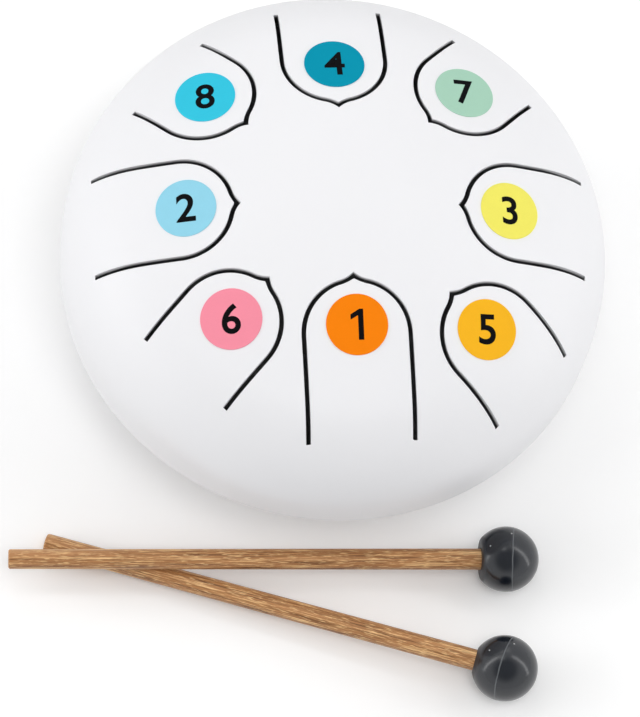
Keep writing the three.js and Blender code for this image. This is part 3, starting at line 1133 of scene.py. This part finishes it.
class DRUM_OT_feet(bpy.types.Operator):
    """Model the rubber feet and their screws, and finish the washers and nuts"""

    bl_idname = "drum.feet"
    bl_label = "Feet"

    def execute(self, context):
        pad = self.pad()
        screw = self.screw()
        zinc = material("zinc_plate", zinc_plate)
        first = foot_place(0)
        for index in range(FEET):
            number = index + 1
            foot = copied(pad, f"rubber_foot_{number}")
            put(foot, foot_place(index) @ first.inverted())
            dress(foot, "drum", "foot_rubber", "black_rubber", black_rubber)
            smooth(foot)
            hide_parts(f"foot_{number}")
            fixing = copied(screw, f"screw_{number}")
            put(fixing, foot_place(index))
            dress(fixing, "drum", "zinc", "zinc_plate", zinc_plate)
            smooth(fixing)
            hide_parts(f"foot_screw_{number}")
            for kind in ("foot_washer", "foot_nut"):
                node = frame["nodes"][f"{kind}_{number}"]
                node.data.materials.clear()
                node.data.materials.append(zinc)
        removed(pad)
        removed(screw)
        return {"FINISHED"}

    def pad(self):
        """The first foot in its place, its sole cut level with the table."""
        shell = settings().shell
        foot = settings().foot
        place = foot_place(0)
        ball = shell.bowl_crown + foot.gap
        reach = place.translation.z + foot.seat_radius

        def seat(out):
            return (out, shell.bowl_crown - math.sqrt(ball ** 2 - out ** 2))

        section = [
            (foot.recess_radius, -reach),
            (foot.recess_radius, -foot.web - FOOT_LIP),
            (foot.recess_radius - FOOT_LIP, -foot.web),
            (foot.hole, -foot.web),
            seat(foot.hole),
            seat(foot.seat_radius - FOOT_LIP),
            (foot.seat_radius, seat(foot.seat_radius)[1] - FOOT_LIP),
            (foot.sole_radius, -reach),
        ]
        pad = turned("foot_blank", [*section, section[0]], SMALL_TURNS)
        put(pad, place)
        edit()
        select_all()
        bpy.ops.mesh.bisect(plane_co=(0, 0, 0), plane_no=(0, 0, 1), clear_inner=True)
        bpy.ops.mesh.bridge_edge_loops()
        tidy_mesh()
        leave()
        select_only(pad, "EDGE", lambda edge: all(self.on_sole_rim(pad, index) for index in edge.vertices))
        bpy.ops.mesh.bevel(offset=SOLE_ROUND, segments=3, affect="EDGES")
        leave()
        return pad

    def on_sole_rim(self, pad, index):
        """Whether a point of the first foot is on the outer edge of its sole."""
        foot = settings().foot
        point = pad.data.vertices[index].co
        spot = foot_place(0) @ Vector((0, 0, -foot_place(0).translation.z))
        return point.z < MERGE and (point - spot).length > (foot.recess_radius + foot.sole_radius) / 2

    def screw(self):
        """A pan-headed screw with a cross in its head, head down."""
        shell = settings().shell
        foot = settings().foot
        under = -foot.web - 2 * foot.gap - foot.washer
        end = under - foot.screw_head_height
        crown = foot.screw_head_height * HEAD_CROWN
        tip = shell.wall + foot.gap + foot.nut + SCREW_END
        section = [(0, end)]
        section += arc(foot.screw_head - crown, end + crown, crown, -math.pi / 2, 0, SCREW_STEPS)
        section += [
            (foot.screw_head, under),
            (foot.screw, under),
            (foot.screw, tip - foot.screw / 3),
            (foot.screw * 2 / 3, tip),
            (0, tip),
        ]
        screw = turned("screw_blank", section, SMALL_TURNS)
        for turn in (0, 90):
            turned_arm = {"rotation": (0, 0, turn * DEGREE), "scale": CROSS_ARM}
            bpy.ops.mesh.primitive_cube_add(size=1, location=(0, 0, end), **turned_arm)
            bar = bpy.context.object
            bpy.ops.object.transform_apply(location=True, rotation=True, scale=True)
            cut(screw, bar)
        return screw


def mallet_turn(name):
    """Turn of a mallet's own frame, whose Z runs from the handle to the ball."""
    mallet = MALLETS[name]
    return Euler((0, math.pi / 2 - mallet.slope * DEGREE, mallet.heading * DEGREE))


class DRUM_OT_mallets(bpy.types.Operator):
    """Turn the two wooden sticks and their rubber balls and lay them in front of the drum"""

    bl_idname = "drum.mallets"
    bl_label = "Mallets"

    def execute(self, context):
        for name, mallet in MALLETS.items():
            place = Matrix.Translation(mallet.head) @ mallet_turn(name).to_matrix().to_4x4()
            stick = self.stick(f"{name}_wood", mallet)
            put(stick, place)
            dress(stick, name, "stained_wood", f"{name}_wood", stained_wood, name)
            smooth(stick)
            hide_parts(f"{name}_stick")
            ball = self.ball(f"{name}_ball", mallet)
            put(ball, place)
            dress(ball, name, "head_rubber", f"{name}_rubber", ball_rubber, name)
            smooth(ball)
            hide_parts(f"{name}_head")
        return {"FINISHED"}

    def stick(self, name, mallet):
        """A tapered stick with a rounded handle end, its ball's middle at the origin."""
        size = settings().mallet
        lip = size.end_round
        start = lip - mallet.reach
        section = [(0, -mallet.reach)]
        section += arc(size.handle_radius - lip, start, lip, -math.pi / 2, 0)
        for i in range(1, STICK_STEPS + 1):
            along = i / STICK_STEPS
            out = size.handle_radius + (size.neck_radius - size.handle_radius) * along
            section.append((out, start + (-mallet.flat - start) * along))
        insert_end = size.insert - mallet.flat
        section += [(size.neck_radius, insert_end), (0, insert_end)]
        return turned(name, section, SMALL_TURNS)

    def ball(self, name, mallet):
        """A rubber ball with a soft-edged flat and a bore for its stick, about the origin."""
        size = settings().mallet
        bore = size.neck_radius + size.glue
        bore_end = size.insert - mallet.flat + size.glue
        edge = mallet.flat_round
        edge_out = math.sqrt((size.head_radius - edge) ** 2 - (mallet.flat - edge) ** 2)
        meet = math.atan2(edge - mallet.flat, edge_out)
        section = [(0, bore_end), (bore, bore_end), (bore, -mallet.flat)]
        section += arc(edge_out, edge - mallet.flat, edge, -math.pi / 2, meet, 2 * LIP_STEPS)
        section += arc(0, 0, size.head_radius, meet, math.pi / 2, BALL_STEPS)[1:]
        section[-1] = (0, size.head_radius)
        return turned(name, section, BALL_TURNS)


class DRUM_OT_stage(bpy.types.Operator):
    """Lay the white table, light it and set up the camera"""

    bl_idname = "drum.stage"
    bl_label = "Stage"

    def execute(self, context):
        stage = settings().stage
        context.scene.view_settings.view_transform = "Standard"
        self.table()
        # Lays a dark card under the sound hole as painted shade
        self.card()
        self.sky()
        axes = self.camera_axes()
        for name, lamp in LAMPS.items():
            self.lamp(name, lamp, Matrix.Identity(3))
        for name, lamp in STRIPS.items():
            self.lamp(name, lamp, axes)
        bpy.ops.object.camera_add()
        camera = named("camera")
        camera.matrix_world = self.facing(axes, stage.distance)
        camera.data.lens = stage.lens
        camera.data.sensor_width = SENSOR_WIDTH
        context.scene.camera = camera
        return {"FINISHED"}

    def camera_axes(self):
        """The camera's right, up and backward directions, as the columns of a matrix."""
        stage = settings().stage
        level = math.cos(stage.elevation)
        towards = Vector((math.sin(stage.azimuth), -math.cos(stage.azimuth), 0))
        back = level * towards + Vector((0, 0, math.sin(stage.elevation)))
        right = Vector((math.cos(stage.azimuth), math.sin(stage.azimuth), 0))
        up = back.cross(right)
        rolled_right = math.cos(stage.roll) * right + math.sin(stage.roll) * up
        rolled_up = math.cos(stage.roll) * up - math.sin(stage.roll) * right
        return Matrix((rolled_right, rolled_up, back)).transposed()

    def facing(self, axes, distance):
        """Place of a camera or lamp that looks at the stage's middle from a distance."""
        stage = settings().stage
        spot = Vector((stage.look_x, stage.look_y, 0)) + distance * axes.col[2]
        return Matrix.Translation(spot) @ axes.to_4x4()

    def lamp(self, name, lamp, axes):
        """A soft rectangular light that faces the drum, with its directions in the given axes."""
        back = (axes @ Vector(lamp.towards)).normalized()
        right = (axes @ Vector(lamp.long_side)).cross(back).normalized()
        turn = Matrix((right, back.cross(right), back)).transposed()
        bpy.ops.object.light_add(type="AREA")
        light = named(name)
        light.matrix_world = self.facing(turn, LAMP_DISTANCE)
        light.data.shape = "RECTANGLE"
        light.data.size = lamp.size[0]
        light.data.size_y = lamp.size[1]
        light.data.energy = lamp.power
        light.visible_glossy = lamp.reflected

    def table(self):
        bpy.ops.mesh.primitive_plane_add(size=TABLE_SIZE)
        table = named("table")
        table.data.materials.append(material("table_white", self.table_white))

    def table_white(self, finish):
        """White that the camera sees a little brighter near the drum and plain far off."""
        gain = settings().stage.floor_gain
        seen = self.seen_directly(finish)
        matt = finish.node("ShaderNodeBsdfDiffuse", None, {"Color": settings().colours.floor})
        bright = finish.node("ShaderNodeBsdfDiffuse", None, {"Color": (gain, gain, gain)})
        plain = finish.node("ShaderNodeEmission", None, {"Color": WHITE, "Strength": 1})
        distance = finish.vector("LENGTH", finish.place(), (0, 0, 0), "Value")
        far = finish.ramp(distance, NEAR_TABLE, 1 / NEAR_TABLE)
        shown = finish.node("ShaderNodeMixShader", None, {0: far, 1: bright, 2: plain})
        surface = finish.node("ShaderNodeMixShader", None, {0: seen, 1: matt, 2: shown})
        finish.feed(finish.tree.nodes["Material Output"].inputs["Surface"], surface)

    def card(self):
        """A grey card on the table under the sound hole, which keeps the slots above it dark: painted shade,
        a dark sheet where the lit table would show through.
        """
        bpy.ops.mesh.primitive_circle_add(vertices=SMALL_TURNS, radius=SHADE_CARD_RADIUS, fill_type="NGON")
        card = named("card")
        card.location = AXIS + Vector((0, 0, SHADE_CARD_HEIGHT))
        card.data.materials.append(material("card_grey", self.card_grey))

    # Grey of the card that paints shade under the drum
    def card_grey(self, finish):
        finish.shader(Base_Color=settings().colours.card, Roughness=0.8)

    def seen_directly(self, finish):
        """One where a ray comes from the camera, a reflection or a clear piece."""
        kinds = ("Is Camera Ray", "Is Glossy Ray", "Is Transmission Ray")
        camera, glossy, clear = (finish.node("ShaderNodeLightPath", output=kind) for kind in kinds)
        return finish.clamp(camera + glossy + clear)

    def sky(self):
        """An even light, seen as white, whose reflection is dimmer on the camera's side."""
        world = bpy.data.worlds.new("sky")
        bpy.context.scene.world = world
        finish = Finish(world)
        stage = settings().stage
        direction = finish.node("ShaderNodeTexCoord", output="Generated")
        facing = finish.vector("DOT_PRODUCT", direction, self.camera_axes().col[2], "Value")
        dim = stage.shade * finish.ramp(facing, DIM_FROM, DIM_SLOPE)
        camera = finish.node("ShaderNodeLightPath", output="Is Camera Ray")
        seen = self.seen_directly(finish)
        white = 1 - dim * (1 - camera)
        background = finish.tree.nodes["Background"]
        finish.feed(background.inputs["Color"], WHITE)
        finish.feed(background.inputs["Strength"], stage.fill + (white - stage.fill) * seen)


class DRUM_PT_sidebar(bpy.types.Panel):
    """Lists the drum's operators and settings"""

    bl_idname = "DRUM_PT_sidebar"
    bl_label = "Tongue Drum"
    bl_space_type = "VIEW_3D"
    bl_region_type = "UI"
    bl_category = "Drum"

    def draw(self, context):
        layout = self.layout
        for operator in OPERATORS:
            layout.operator(operator.bl_idname)
        for name in DrumSettings.__annotations__:
            part = getattr(context.scene.tongue_drum, name)
            box = layout.box()
            for key in part.__annotations__:
                box.prop(part, key)


GROUPS = (ShellSizes, LabelSizes, FootSizes, MalletSizes, DrumColours, StageSettings, DrumSettings)
OPERATORS = (DRUM_OT_dome, DRUM_OT_bowl, DRUM_OT_labels, DRUM_OT_feet, DRUM_OT_mallets, DRUM_OT_stage)
CLASSES = (*GROUPS, *OPERATORS, DRUM_PT_sidebar)


def register():
    for entry in CLASSES:
        bpy.utils.register_class(entry)
    bpy.types.Scene.tongue_drum = bpy.props.PointerProperty(type=DrumSettings)


def unregister():
    del bpy.types.Scene.tongue_drum
    for entry in reversed(CLASSES):
        bpy.utils.unregister_class(entry)


def main():
    register()
    bpy.ops.drum.dome()
    bpy.ops.drum.bowl()
    bpy.ops.drum.labels()
    bpy.ops.drum.feet()
    bpy.ops.drum.mallets()
    bpy.ops.drum.stage()


if __name__ == "__main__":
    main()
